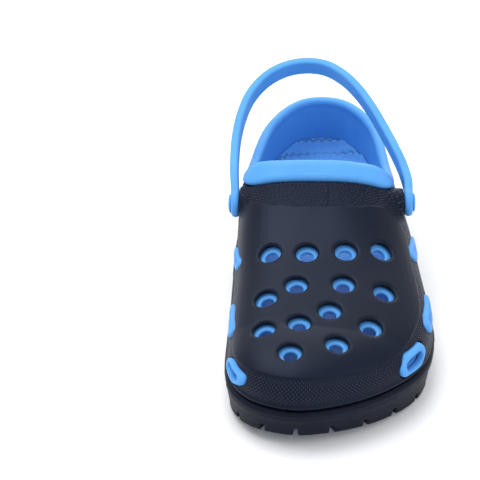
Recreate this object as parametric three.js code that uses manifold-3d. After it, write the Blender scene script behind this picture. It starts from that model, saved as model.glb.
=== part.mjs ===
// Left garden clog with a blue lining shoe, swinging heel strap, side vents and tread pads.
// Millimetres, +Z up, toe towards -Y, medial side -X. Origin: middle of the sole on the floor.
import * as THREE from 'three';
import { mergeVertices } from 'three/addons/utils/BufferGeometryUtils.js';
import Module from 'manifold-3d';

const wasm = await Module();
wasm.setup();

// Overall size
const LENGTH = 288;
const WIDTH = 116;
const LAST_LENGTH = 288.7;
const LAST_WIDTH = 116;
const ORIGIN_X = 2.45;
const KX = WIDTH / LAST_WIDTH;
const KY = LENGTH / LAST_LENGTH;

// Walls and fits
const GAP = 0.3;
const SHELL_IN = 1.6;
const SHELL_WALL = 3.0;
const LINER_WALL = 2.7;
const CUFF_PROUD = 1.8;
const FOOTBED_THICK = 4.0;
const SOLE_FLOOR_DROP = 9.0;

// Tread
const LUG_DEPTH = 4.5;
const LUG_WIDTH = 10;
const LUG_SLIT = 2.4;
const PAD_SINK = 0.8;
const PAD_SEAT = 2.0;

// Vents and vamp holes
const HOLE_DIAMETER = 12;
const LINER_HOLE_DIAMETER = 7;
const VENT_PROUD = 1.4;

// Strap and rivets
const STRAP_THICK = 5.0;
const STRAP_END_RADIUS = 8.5;
const STRAP_REACH = 113;
const STRAP_LINE_IN = 2.5;
// The clog length and the pivot spacing that the strap's centre line is drawn for
const STRAP_LENGTH_REF = 288;
const STRAP_SPAN_REF = Math.hypot(96.6, 4);
const STRAP_RISE_DEG = 18;
const PIN_DIAMETER = 5;
const PIN_CLEARANCE = 0.09;
const PIN_HOLE_DIAMETER = PIN_DIAMETER + 2 * PIN_CLEARANCE;
const HEAD_DIAMETER = 12;
const BOSS_RADIUS = 10;
const CAP_DIAMETER = 11;
const CAP_THICK = 1.6;
const BOSS_DEPTH = 13;
const LINER_BOSS_RADIUS = 8;
const PIN_REACH = BOSS_DEPTH + GAP + CAP_THICK + 0.3;
const PIVOT_Y = 13;
const PIVOT_MEDIAL = [-55.4, 55.5];
const PIVOT_LATERAL = [41.2, 59.5];

const RING_COUNT = 68;
const HALF = RING_COUNT / 2;

// Widest outline of the shoe, heel first, down the lateral side, round the toe and back.
const OUTLINE = [
  [-7.5, 144.2], [12, 137], [28, 112], [34.5, 80], [40, 45], [48.6, 13], [54, -22], [57.6, -52],
  [57.4, -75], [53, -95], [42, -112.5], [25, -128], [5.5, -139], [-14, -144.5], [-29, -142.8],
  [-42.8, -136], [-53, -122.5], [-57.2, -104], [-57.8, -76], [-57.6, -40], [-58, 0], [-57.2, 36],
  [-53, 72], [-45.5, 108], [-28, 136.5],
].map(([x, y]) => new THREE.Vector2(x * KX, y * KY));

// Tables of [y, value]
const CREST = [
  [-150, 38], [-135, 41], [-118, 44], [-100, 47], [-75, 51], [-45, 57], [-25, 63.5], [-10, 70.5],
  [3, 78], [14, 86], [26, 92], [60, 96], [150, 96],
];
const SPINE = [[-100, -16], [-30, -4], [30, -5], [150, -7]];
const GROOVE = [[-150, 24.5], [-120, 22.5], [-75, 21], [0, 21], [60, 23.5], [110, 26.5], [150, 28]];
const COLLAR = [
  [12, 100], [15, 87.5], [20, 82], [27, 75.5], [34.5, 68], [42.5, 62], [54, 58.6], [75, 57.6],
  [105, 58.8], [137, 61], [175, 62],
];
const CUFF = [
  [-6, 92], [4.5, 77.8], [9, 71.5], [13.5, 68.2], [19, 65.6], [23.5, 64.5], [29, 61.5], [37, 57],
  [48, 54], [62, 52.6], [80, 52], [105, 53.2], [137, 55.4], [175, 56.4],
];
const SOLE_INSET = [[-150, 1.2], [-75, 1.8], [-20, 3.5], [20, 6], [60, 4.5], [100, 3], [150, 3]];

// Vamp holes at [x, y], toe rows first
const HOLES = [
  [-21.6, -119.5], [3.2, -111.4], [-36.5, -99.3], [-17.4, -95.5], [21.5, -94.7], [-1, -85.1],
  [-36.5, -74.3], [-19.9, -65.5], [6.3, -64], [29, -66.3], [-35.6, -39.4], [-14.7, -41.3],
  [7.2, -39.6], [27.5, -34.7],
];

// Side vents: middle [x, y, z] on the wall, plan direction faced, lean of the long axis,
// half length, half height and slant of the ends
const VENTS = [
  { name: 'side_vent_medial_front', at: [-54, -118, 31], face: 203, lean: 3, long: 15, tall: 6, slant: 5 },
  { name: 'side_vent_medial_middle', at: [-55, -74, 35], face: 181, lean: 4, long: 18, tall: 5.5, slant: 5 },
  { name: 'side_vent_medial_rear', at: [-55, -22, 42], face: 180, lean: 14, long: 16, tall: 5.5, slant: 5 },
  { name: 'side_vent_lateral_front', at: [45, -103, 31], face: -36, lean: -3, long: 15, tall: 6, slant: 5 },
  { name: 'side_vent_lateral_middle', at: [53, -60, 34], face: 0, lean: -5, long: 20, tall: 5.5, slant: 5 },
  { name: 'side_vent_lateral_rear', at: [48, -8, 43], face: 8, lean: -15, long: 17, tall: 5.5, slant: 5 },
];

// Tread pads, plan corners
const PADS = [
  { name: 'tread_pad_toe_medial', corners: [[-23, -130], [-34, -124], [-38, -110], [-35, -105], [-15, -104], [-12, -107], [-18, -129]] },
  { name: 'tread_pad_toe_lateral', corners: [[-9, -129], [-5, -126], [2, -106], [19, -107], [22, -111], [17, -117], [1, -128]] },
  { name: 'tread_pad_ball_medial', corners: [[-34, -71], [-37, -66], [-36, -53], [-25, -40], [-7, -30], [-3, -33], [-3, -62], [-7, -66], [-21, -71]] },
  { name: 'tread_pad_ball_lateral', corners: [[9, -65], [9, -31], [14, -28], [23, -31], [37, -42], [41, -54], [40, -69], [35, -73], [24, -71], [13, -68]] },
  { name: 'tread_pad_heel_medial', corners: [[-36, 72], [-38, 84], [-33, 108], [-22, 121], [-13, 123], [-11, 120], [-11, 72], [-14, 69], [-33, 69]] },
  { name: 'tread_pad_heel_lateral', corners: [[-5, 72], [-5, 120], [-3, 123], [6, 120], [16, 108], [22, 84], [20, 72], [17, 69], [-2, 69]] },
];

// Inner tread: slanted bars each side of a row of blocks
const BAR_WIDTH = 6.6;
const BAR_YS = [-98, -89.5, -81];
const BAR_SLANT = 0.16;
const SPINE_BLOCK = 6;
const SPINE_BLOCKS = [[-9, -119], [-6.5, -102], [-4.5, -91], [-1.5, -80], [1.5, -69], [3, -57], [3.4, -45], [3, -33]];
const FRONT_ISLAND_END = -22;
const HEEL_ISLAND_START = 52;

function table(rows, y) {
  const at = y / KY;
  if (at <= rows[0][0]) return rows[0][1];
  const last = rows.length - 1;
  if (at >= rows[last][0]) return rows[last][1];
  let i = 0;
  while (at > rows[i + 1][0]) i += 1;
  const slope = (k) => {
    const a = rows[Math.max(k - 1, 0)];
    const b = rows[Math.min(k + 1, last)];
    return (b[1] - a[1]) / (b[0] - a[0]);
  };
  const h = rows[i + 1][0] - rows[i][0];
  const u = (at - rows[i][0]) / h;
  const u2 = u * u;
  const u3 = u2 * u;
  return (2 * u3 - 3 * u2 + 1) * rows[i][1] + (u3 - 2 * u2 + u) * h * slope(i)
    + (3 * u2 - 2 * u3) * rows[i + 1][1] + (u3 - u2) * h * slope(i + 1);
}

const grooveZ = (y) => table(GROOVE, y);
const floorZ = (y) => grooveZ(y) - SOLE_FLOOR_DROP;
const treadZ = (y) => 8.2 * (Math.max(-y / KY - 70, 0) / 74) ** 2;

// The outline resampled from heel to toe on each side, with outward normals
function outlineEdge() {
  const count = OUTLINE.length;
  let control = OUTLINE.map((p) => p.clone());
  for (let pass = 0; pass < 40; pass += 1) {
    control = control.map((c, i) => {
      const near = control[(i + count - 1) % count].clone().add(control[(i + 1) % count]);
      return OUTLINE[i].clone().multiplyScalar(6).sub(near).multiplyScalar(0.25).add(c).multiplyScalar(0.5);
    });
  }
  const curve = (t) => {
    const u = (t - Math.floor(t)) * count;
    const i = Math.floor(u);
    const f = u - i;
    const weights = [(1 - f) ** 3, 3 * f ** 3 - 6 * f ** 2 + 4, -3 * f ** 3 + 3 * f ** 2 + 3 * f + 1, f ** 3];
    const point = new THREE.Vector2();
    weights.forEach((w, k) => point.addScaledVector(control[(i + k - 1 + count) % count], w / 6));
    return point;
  };
  const fine = 2400;
  const dense = Array.from({ length: fine }, (_, i) => curve(i / fine));
  const heel = dense.reduce((best, p, i) => (p.y > dense[best].y ? i : best), 0);
  const toe = dense.reduce((best, p, i) => (p.y < dense[best].y ? i : best), 0);
  const walk = (from, step) => {
    const path = [dense[from]];
    for (let i = from; i !== toe;) {
      i = (i + step + fine) % fine;
      path.push(dense[i]);
    }
    const lengths = [0];
    for (let i = 1; i < path.length; i += 1) lengths.push(lengths[i - 1] + path[i].distanceTo(path[i - 1]));
    return Array.from({ length: HALF + 1 }, (_, k) => {
      const want = (lengths[lengths.length - 1] * k) / HALF;
      let i = 1;
      while (i < path.length - 1 && lengths[i] < want) i += 1;
      const f = (want - lengths[i - 1]) / (lengths[i] - lengths[i - 1]);
      return path[i - 1].clone().lerp(path[i], f);
    });
  };
  const lateral = walk(heel, 1);
  const medial = walk(heel, -1);
  const points = [...lateral.slice(0, HALF), ...medial.slice(1).reverse()];
  return points.map((p, k) => {
    const ahead = points[(k + 1) % RING_COUNT];
    const behind = points[(k + RING_COUNT - 1) % RING_COUNT];
    const along = ahead.clone().sub(behind).normalize();
    return { x: p.x, y: p.y, nx: -along.y, ny: along.x };
  });
}

const EDGE = outlineEdge();

function ring(inset, height) {
  return EDGE.map((e) => {
    const d = typeof inset === 'function' ? inset(e.y) : inset;
    const x = e.x - e.nx * d;
    const y = e.y - e.ny * d;
    return new THREE.Vector3(x, y, height(y));
  });
}

// Closed geometry from a flat list of triangle corners, wound outwards
function closed(corners) {
  let geometry = new THREE.BufferGeometry();
  geometry.setAttribute('position', new THREE.Float32BufferAttribute(corners, 3));
  geometry = mergeVertices(geometry, 1e-3);
  const index = geometry.index.array;
  const kept = [];
  for (let i = 0; i < index.length; i += 3) {
    const [a, b, c] = [index[i], index[i + 1], index[i + 2]];
    if (a !== b && b !== c && c !== a) kept.push(a, b, c);
  }
  geometry.setIndex(kept);
  return geometry;
}

function signedVolume(geometry) {
  const p = geometry.attributes.position;
  const index = geometry.index.array;
  const [a, b, c] = [new THREE.Vector3(), new THREE.Vector3(), new THREE.Vector3()];
  let sum = 0;
  for (let i = 0; i < index.length; i += 3) {
    a.fromBufferAttribute(p, index[i]);
    b.fromBufferAttribute(p, index[i + 1]);
    c.fromBufferAttribute(p, index[i + 2]);
    sum += a.dot(b.cross(c));
  }
  return sum / 6;
}

function solid(source) {
  const bare = source.clone();
  bare.deleteAttribute('normal');
  bare.deleteAttribute('uv');
  const geometry = mergeVertices(bare, 1e-3);
  const triVerts = Uint32Array.from(geometry.index.array);
  if (signedVolume(geometry) < 0) {
    for (let i = 0; i < triVerts.length; i += 3) {
      [triVerts[i], triVerts[i + 1]] = [triVerts[i + 1], triVerts[i]];
    }
  }
  const vertProperties = Float32Array.from(geometry.attributes.position.array);
  return new wasm.Manifold(new wasm.Mesh({ numProp: 3, vertProperties, triVerts }));
}

const union = (solids) => solids.reduce((whole, next) => whole.add(next));

function toGeometry(manifold) {
  const mesh = manifold.getMesh();
  const geometry = new THREE.BufferGeometry();
  geometry.setAttribute('position', new THREE.BufferAttribute(new Float32Array(mesh.vertProperties), 3));
  geometry.setIndex(new THREE.BufferAttribute(new Uint32Array(mesh.triVerts), 1));
  return geometry;
}

// Rings joined side by side; the first and last are closed by rungs between facing points
function loft(rings) {
  const corners = [];
  const put = (...points) => points.forEach((p) => corners.push(p.x, p.y, p.z));
  const quad = (a, b, c, d) => {
    put(a, b, c);
    put(a, c, d);
  };
  for (let i = 0; i < rings.length - 1; i += 1) {
    for (let k = 0; k < RING_COUNT; k += 1) {
      const n = (k + 1) % RING_COUNT;
      quad(rings[i][k], rings[i][n], rings[i + 1][n], rings[i + 1][k]);
    }
  }
  const top = rings[rings.length - 1];
  const low = rings[0];
  for (let k = 0; k < HALF; k += 1) {
    const across = (RING_COUNT - k) % RING_COUNT;
    const next = RING_COUNT - k - 1;
    quad(top[k], top[k + 1], top[next], top[across]);
    quad(low[k + 1], low[k], low[across], low[next]);
  }
  return solid(closed(corners));
}

const PHASES = [0, 12, 25, 39, 54, 70, 90];
const TOE_FAN = -97 * KY;
const HEEL_FAN = 100 * KY;
// Roundness of the upper's cross-section on each side, as a superellipse power
const BULGE_LATERAL = [[-150, 2.7], [-100, 2.6], [-50, 2.3], [0, 2.05], [32, 2.1], [62, 3], [150, 3]];
const BULGE_MEDIAL = [[-150, 2.7], [-100, 2.7], [-50, 3.1], [0, 3.6], [60, 3.4], [150, 3]];

// Point of the upper between its foot at edge point k and the spine above it
function meridian(foot, k, phase, inset) {
  const p = foot[k];
  const mate = foot[(RING_COUNT - k) % RING_COUNT];
  const fy = THREE.MathUtils.clamp((p.y + mate.y) / 2, TOE_FAN, HEEL_FAN);
  const fx = table(SPINE, fy) * KX;
  const angle = THREE.MathUtils.degToRad(phase);
  const power = 2 / table(k < HALF ? BULGE_LATERAL : BULGE_MEDIAL, p.y);
  const r = phase === 90 ? 0 : Math.cos(angle) ** power;
  const s = Math.sin(angle) ** power;
  const z = phase === 90 ? table(CREST, fy) - inset : THREE.MathUtils.lerp(p.z, table(CREST, fy) - inset, s);
  return new THREE.Vector3(fx + (p.x - fx) * r, fy + (p.y - fy) * r, z);
}

// The upper's form, inset all round, standing on height foot(y); skirt(y) carries it straight down
function dome(inset, lift, skirt) {
  const foot = ring(SHELL_IN + inset, (y) => grooveZ(y) + lift);
  const rings = PHASES.map((phase) => foot.map((_, k) => meridian(foot, k, phase, inset)));
  if (skirt) rings.unshift(foot.map((p) => new THREE.Vector3(p.x, p.y, skirt(p.y))));
  return loft(rings);
}

// Everything above a side-view line, as a block right across the shoe; drop moves the line inwards
function blockAbove(rows, drop) {
  const first = rows[0][0] * KY;
  const last = rows[rows.length - 1][0] * KY;
  const ys = [];
  for (let y = first; y < last; y += y < 60 * KY ? 3 : 9) ys.push(y);
  ys.push(last);
  const line = ys.map((y) => new THREE.Vector2(y, table(rows, y)));
  const moved = line.map((p, i) => {
    const along = line[Math.min(i + 1, line.length - 1)].clone().sub(line[Math.max(i - 1, 0)]).normalize();
    return new THREE.Vector2(p.x + along.y * drop, p.y - along.x * drop);
  });
  const shape = new THREE.Shape([...moved, new THREE.Vector2(last, 220), new THREE.Vector2(first, 220)]);
  const geometry = new THREE.ExtrudeGeometry(shape, { depth: 2 * WIDTH, bevelEnabled: false });
  const turn = new THREE.Matrix4().set(0, 0, 1, -WIDTH, 1, 0, 0, 0, 0, 1, 0, 0, 0, 0, 0, 1);
  return solid(geometry.applyMatrix4(turn));
}

// A straight-sided column over a plan shape
function column(points) {
  const shape = new THREE.Shape(points.map(([x, y]) => new THREE.Vector2(x * KX, y * KY)));
  const geometry = new THREE.ExtrudeGeometry(shape, { depth: 60, bevelEnabled: false });
  return solid(geometry.translate(0, 0, -10));
}

// The layer of the sole between two heights above the tread's own ground line
function soleLayer(low, high) {
  const wide = -20;
  return loft([ring(wide, (y) => treadZ(y) + low), ring(wide, (y) => treadZ(y) + high)]);
}

const PHI = THREE.MathUtils.degToRad;

// Height and outward direction of a form's top at plan position x, y
function surfaceAt(form, x, y) {
  const hit = { z: -1e9, normal: null };
  const [a, b, c] = [new THREE.Vector3(), new THREE.Vector3(), new THREE.Vector3()];
  const p = form.attributes.position;
  const index = form.index.array;
  for (let i = 0; i < index.length; i += 3) {
    a.fromBufferAttribute(p, index[i]);
    b.fromBufferAttribute(p, index[i + 1]);
    c.fromBufferAttribute(p, index[i + 2]);
    const area = (b.x - a.x) * (c.y - a.y) - (c.x - a.x) * (b.y - a.y);
    if (area > 1e-9) {
      const u = ((b.x - x) * (c.y - y) - (c.x - x) * (b.y - y)) / area;
      const v = ((c.x - x) * (a.y - y) - (a.x - x) * (c.y - y)) / area;
      const w = 1 - u - v;
      const z = u * a.z + v * b.z + w * c.z;
      if (u >= 0 && v >= 0 && w >= 0 && z > hit.z) {
        hit.z = z;
        hit.normal = b.clone().sub(a).cross(c.clone().sub(a)).normalize();
      }
    }
  }
  return hit;
}

// A rod of the given diameter through a point along a direction
function rod(at, along, diameter, back, front, sides = 24) {
  const geometry = new THREE.CylinderGeometry(diameter / 2, diameter / 2, back + front, sides);
  geometry.translate(0, (front - back) / 2, 0);
  geometry.applyQuaternion(new THREE.Quaternion().setFromUnitVectors(new THREE.Vector3(0, 1, 0), along));
  return solid(geometry.translate(at.x, at.y, at.z));
}

function vampHoles(form, diameter) {
  return union(HOLES.map(([x, y]) => {
    const { z, normal } = surfaceAt(form, x * KX, y * KY);
    return rod(new THREE.Vector3(x * KX, y * KY, z), normal, diameter, 14, 8, 12);
  }));
}

// A lozenge with slanted, rounded ends, run through the wall where the vent sits
function ventPrism(vent, grow, share = 1) {
  const long = vent.long * share + grow;
  const tall = (vent.tall + (share < 1 ? -2.4 : 0)) * (share < 1 ? 0.55 : 1) + grow;
  const slant = vent.slant * share;
  const corner = Math.min(3, tall * 0.8);
  const rough = [[-long, -tall], [long - slant, -tall], [long, tall], [-long + slant, tall]]
    .map(([x, y]) => new THREE.Vector2(x, y));
  const outline = [];
  rough.forEach((p, i) => {
    const before = rough[(i + 3) % 4].clone().sub(p).setLength(corner).add(p);
    const after = rough[(i + 1) % 4].clone().sub(p).setLength(corner).add(p);
    outline.push(...new THREE.QuadraticBezierCurve(before, p, after).getPoints(3));
  });
  const geometry = new THREE.ExtrudeGeometry(new THREE.Shape(outline), { depth: 26, bevelEnabled: false });
  geometry.translate(0, 0, -13).rotateZ(PHI(vent.lean));
  const face = PHI(vent.face);
  const out = new THREE.Vector3(Math.cos(face), Math.sin(face), 0);
  const up = new THREE.Vector3(0, 0, 1);
  geometry.applyMatrix4(new THREE.Matrix4().makeBasis(up.clone().cross(out), up, out));
  return solid(geometry.translate(vent.at[0] * KX, vent.at[1] * KY, vent.at[2]));
}

const OUTER_FORM = toGeometry(dome(0, GAP));
const SHELL_INNER = SHELL_WALL;
const LINER_OUTER = SHELL_INNER + GAP;
const LINER_INNER = LINER_OUTER + LINER_WALL;
const footbedLow = (y) => floorZ(y) + GAP + LINER_WALL + GAP;

const medialPivot = new THREE.Vector3(PIVOT_MEDIAL[0] * KX, PIVOT_Y * KY, PIVOT_MEDIAL[1]);
const lateralPivot = new THREE.Vector3(PIVOT_LATERAL[0] * KX, PIVOT_Y * KY, PIVOT_LATERAL[1]);
const HINGE_LINE = lateralPivot.clone().sub(medialPivot).normalize();
const PIVOTS = [
  { side: 'medial', at: medialPivot, out: HINGE_LINE.clone().negate() },
  { side: 'lateral', at: lateralPivot, out: HINGE_LINE },
];

const pinHoles = () => union(PIVOTS.map((p) => rod(p.at, p.out, PIN_HOLE_DIAMETER, 20, 5, 28)));
const strapSeats = () => union(PIVOTS.map((p) => rod(p.at, p.out, 2 * (STRAP_END_RADIUS + 1), GAP, 12, 32)));

function upperShell() {
  const bosses = union(PIVOTS.map((p) => rod(p.at, p.out, 2 * BOSS_RADIUS, 12, -GAP, 32)));
  const vents = union(VENTS.map((v) => ventPrism(v, GAP)));
  return dome(0, GAP).add(bosses)
    .subtract(dome(SHELL_INNER, 0, (y) => grooveZ(y) - 10))
    .subtract(blockAbove(CUFF, GAP))
    .subtract(vampHoles(OUTER_FORM, HOLE_DIAMETER))
    .subtract(vents)
    .subtract(strapSeats())
    .subtract(pinHoles());
}

function innerLiner() {
  const shoe = dome(LINER_OUTER, 0, (y) => floorZ(y) + GAP);
  const cuff = dome(-CUFF_PROUD, GAP).intersect(blockAbove(CUFF, 0));
  const bosses = union(PIVOTS.map((p) => rod(p.at, p.out, 2 * LINER_BOSS_RADIUS, BOSS_DEPTH, -2, 32)));
  return shoe.add(cuff)
    .subtract(dome(LINER_INNER, 0, (y) => floorZ(y) + GAP + LINER_WALL))
    .add(bosses.intersect(dome(LINER_OUTER, 0)))
    .subtract(blockAbove(COLLAR, 0))
    .subtract(vampHoles(OUTER_FORM, LINER_HOLE_DIAMETER))
    .subtract(union(VENTS.map((v) => ventPrism(v, 0, 0.6))))
    .subtract(strapSeats())
    .subtract(union(PIVOTS.map((p) => rod(p.at, p.out, CAP_DIAMETER + 1, BOSS_DEPTH + 5, -BOSS_DEPTH))))
    .subtract(pinHoles());
}

function footbed() {
  const inset = SHELL_IN + LINER_INNER + GAP;
  return loft([
    ring(inset, footbedLow),
    ring(inset, (y) => footbedLow(y) + FOOTBED_THICK - 1.2),
    ring(inset + 1.2, (y) => footbedLow(y) + FOOTBED_THICK),
  ]);
}

function sideVent(vent) {
  return ventPrism(vent, 0)
    .intersect(dome(-VENT_PROUD, GAP).subtract(dome(SHELL_INNER, 0, (y) => grooveZ(y) - 10)))
    .subtract(ventPrism(vent, 0, 0.6));
}

const rounded = (corners) => {
  const path = new THREE.CatmullRomCurve3(
    corners.map(([x, y]) => new THREE.Vector3(x, y, 0)), true, 'centripetal',
  );
  const points = path.getSpacedPoints(26).slice(0, 26).map((p) => [p.x, p.y]);
  return clockwise(points) ? points.reverse() : points;
};

// A plan outline moved outwards by a distance
const grown = (points, by) => points.map(([x, y], i) => {
  const [ax, ay] = points[(i + 1) % points.length];
  const [bx, by_] = points[(i + points.length - 1) % points.length];
  const size = Math.hypot(ax - bx, ay - by_);
  return [x + (by * (ay - by_)) / size, y - (by * (ax - bx)) / size];
});

const clockwise = (points) => THREE.ShapeUtils.isClockWise(points.map(([x, y]) => new THREE.Vector2(x, y)));

function treadPad(pad) {
  return column(rounded(pad.corners)).intersect(soleLayer(PAD_SINK, LUG_DEPTH + PAD_SEAT - GAP));
}

// Blocks round the edge of one island of the tread, with a closing row straight across
function edgeBlocks(keep, closeAt) {
  const blocks = [];
  const rim = (e, d) => [(e.x - e.nx * d) / KX, (e.y - e.ny * d) / KY];
  const step = 2;
  for (let k = 0; k < RING_COUNT; k += step) {
    const a = EDGE[k];
    const b = EDGE[(k + step) % RING_COUNT];
    if (keep(a.y / KY) && keep(b.y / KY)) {
      const slit = LUG_SLIT / (2 * Math.hypot(a.x - b.x, a.y - b.y));
      const edge = table(SOLE_INSET, a.y) + 1;
      const mix = (p, q, f) => [p[0] + (q[0] - p[0]) * f, p[1] + (q[1] - p[1]) * f];
      const outer = [rim(a, edge), rim(b, edge)];
      const inner = [rim(a, edge + LUG_WIDTH), rim(b, edge + LUG_WIDTH)];
      blocks.push(column([
        mix(...outer, slit), mix(...outer, 1 - slit), mix(...inner, 1 - slit), mix(...inner, slit),
      ].reverse()));
    }
  }
  return blocks;
}

const bar = (x0, x1, y, slant, half) => column([
  [x0, y - half], [x1, y - half + (x1 - x0) * slant], [x1, y + half + (x1 - x0) * slant], [x0, y + half],
]);

const square = ([x, y]) => column([
  [x - SPINE_BLOCK / 2, y - SPINE_BLOCK / 2], [x + SPINE_BLOCK / 2, y - SPINE_BLOCK / 2],
  [x + SPINE_BLOCK / 2, y + SPINE_BLOCK / 2], [x - SPINE_BLOCK / 2, y + SPINE_BLOCK / 2],
]);

function tread() {
  const front = edgeBlocks((y) => y < FRONT_ISLAND_END);
  const heel = edgeBlocks((y) => y > HEEL_ISLAND_START);
  const bars = BAR_YS.flatMap((y) => [
    bar(-38, -9, y - 3, BAR_SLANT, BAR_WIDTH / 2),
    bar(5, 38, y + 4, -BAR_SLANT, BAR_WIDTH / 2),
  ]);
  return union([...front, ...heel, ...bars, ...SPINE_BLOCKS.map(square)]).intersect(soleLayer(0, LUG_DEPTH + 1));
}

function outsole() {
  const edge = (y) => table(SOLE_INSET, y);
  const body = loft([
    ring((y) => edge(y) + 1.5, (y) => treadZ(y) + LUG_DEPTH),
    ring(edge, (y) => treadZ(y) + LUG_DEPTH + 1.5),
    ring(0, (y) => grooveZ(y) - 3),
    ring(0.6, grooveZ),
  ]);
  const seat = loft([
    ring(SHELL_IN + SHELL_INNER, floorZ),
    ring(SHELL_IN + SHELL_INNER, (y) => grooveZ(y) + 5),
  ]);
  const pockets = union(PADS.map((pad) => column(grown(rounded(pad.corners), GAP))));
  return body.add(tread())
    .subtract(seat)
    .subtract(pockets.intersect(soleLayer(-5, LUG_DEPTH + PAD_SEAT)));
}

// Strap centre line in its own plane, [across, back], medial end first
const STRAP_PATH = [
  [-50.8, -1], [-50.9, 5], [-51.5, 12], [-52.2, 20], [-52.6, 32], [-52.2, 50], [-49.8, 68], [-44.4, 86], [-34, 101],
  [-21.5, 109], [-9, 111], [2, 108.5], [13, 100], [22, 88], [30, 73], [36.8, 57], [43, 41], [48, 26],
  [50.9, 12], [50.8, 4], [50.8, -1],
];
const STRAP_WIDTHS = [[0, 14], [0.1, 12.5], [0.3, 11.5], [0.5, 11], [0.7, 11.5], [0.9, 12.5], [1, 14]];

// Band joined from equal sections, ends closed
function sweep(sections) {
  const corners = [];
  const count = sections[0].length;
  const put = (...points) => points.forEach((p) => corners.push(p.x, p.y, p.z));
  for (let i = 0; i < sections.length - 1; i += 1) {
    for (let k = 0; k < count; k += 1) {
      const n = (k + 1) % count;
      put(sections[i][k], sections[i][n], sections[i + 1][n]);
      put(sections[i][k], sections[i + 1][n], sections[i + 1][k]);
    }
  }
  const low = sections[0];
  const top = sections[sections.length - 1];
  for (let k = 1; k < count - 1; k += 1) {
    put(low[0], low[k + 1], low[k]);
    put(top[0], top[k], top[k + 1]);
  }
  return solid(closed(corners));
}

function heelStrap() {
  const reach = (STRAP_REACH / 111) * (LENGTH / STRAP_LENGTH_REF);
  const span = medialPivot.distanceTo(lateralPivot);
  const widen = (span / 2 + STRAP_LINE_IN) / (STRAP_SPAN_REF / 2 + STRAP_LINE_IN);
  const path = new THREE.CatmullRomCurve3(
    STRAP_PATH.map(([x, y]) => new THREE.Vector3(x * widen, y * reach, 0)), false, 'centripetal',
  );
  const stations = 46;
  const edge = 1.1;
  const sections = Array.from({ length: stations + 1 }, (_, i) => {
    const share = i / stations;
    const at = path.getPointAt(share);
    const along = path.getTangentAt(share);
    const side = new THREE.Vector3(along.y, -along.x, 0);
    const inner = STRAP_LINE_IN;
    const outer = inner - STRAP_THICK;
    const w = table(STRAP_WIDTHS.map(([f, wide]) => [f, wide]), share * KY) / 2;
    return [[outer, -w + edge], [outer + edge, -w], [inner - edge, -w], [inner, -w + edge],
      [inner, w - edge], [inner - edge, w], [outer + edge, w], [outer, w - edge]]
      .map(([a, b]) => at.clone().addScaledVector(side, a).setZ(b));
  });
  const back = new THREE.Vector3(0, 1, 0);
  const middle = medialPivot.clone().add(lateralPivot).multiplyScalar(0.5);
  const lift = new THREE.Matrix4().makeBasis(HINGE_LINE, back, HINGE_LINE.clone().cross(back))
    .setPosition(middle)
    .multiply(new THREE.Matrix4().makeRotationX(PHI(STRAP_RISE_DEG)));
  const band = sweep(sections.map((section) => section.map((p) => p.clone().applyMatrix4(lift))));
  const ends = union(PIVOTS.map((p) => rod(p.at, p.out, 2 * STRAP_END_RADIUS, 0, STRAP_THICK, 32)));
  const bores = union(PIVOTS.map((p) => rod(p.at, p.out, PIN_HOLE_DIAMETER, 8, 12, 28)));
  return band.add(ends).subtract(bores);
}

// Turned piece from [radius, distance out] pairs about a pivot's outward line
function turned(pivot, profile, sides = 28) {
  const geometry = new THREE.LatheGeometry(profile.map(([r, d]) => new THREE.Vector2(r, d)), sides);
  geometry.applyQuaternion(new THREE.Quaternion().setFromUnitVectors(new THREE.Vector3(0, 1, 0), pivot.out));
  return solid(geometry.translate(pivot.at.x, pivot.at.y, pivot.at.z));
}

function rivet(pivot) {
  const pin = PIN_DIAMETER / 2;
  const head = HEAD_DIAMETER / 2;
  const under = STRAP_THICK + GAP;
  return turned(pivot, [
    [0, -PIN_REACH], [pin, -PIN_REACH], [pin, under], [head, under], [head, under + 0.8],
    [head - 1.2, under + 1.7], [head - 3, under + 2.1], [0, under + 2.2],
  ]);
}

function rivetCap(pivot) {
  const bore = PIN_HOLE_DIAMETER / 2;
  const rim = CAP_DIAMETER / 2;
  const face = -BOSS_DEPTH - GAP;
  return turned(pivot, [
    [bore, face - CAP_THICK], [rim - 0.6, face - CAP_THICK], [rim, face - CAP_THICK + 0.6],
    [rim, face], [bore, face], [bore, face - CAP_THICK],
  ]);
}

const NAVY = 0x1f2533;
const BLUE = 0x5fa8ee;
const group = new THREE.Group();

function place(name, shape, color, roughness, metalness = 0) {
  const geometry = toGeometry(shape).translate(ORIGIN_X, 0, 0);
  const mesh = new THREE.Mesh(geometry, new THREE.MeshStandardMaterial({ color, roughness, metalness }));
  mesh.name = name;
  group.add(mesh);
}

place('upper_shell', upperShell(), NAVY, 0.6);
place('outsole', outsole(), NAVY, 0.65);
place('inner_liner', innerLiner(), BLUE, 0.55);
place('footbed', footbed(), BLUE, 0.6);
place('heel_strap', heelStrap(), BLUE, 0.5);
PIVOTS.forEach((p) => place(`strap_rivet_${p.side}`, rivet(p), BLUE, 0.45));
PIVOTS.forEach((p) => place(`rivet_cap_${p.side}`, rivetCap(p), BLUE, 0.45));
VENTS.forEach((vent) => place(vent.name, sideVent(vent), BLUE, 0.5));
PADS.forEach((pad) => place(pad.name, treadPad(pad), BLUE, 0.6));

export default group;
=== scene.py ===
import math

import bpy
import numpy as np
import openvdb as vdb
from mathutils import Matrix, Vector
from mathutils.bvhtree import BVHTree


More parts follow.
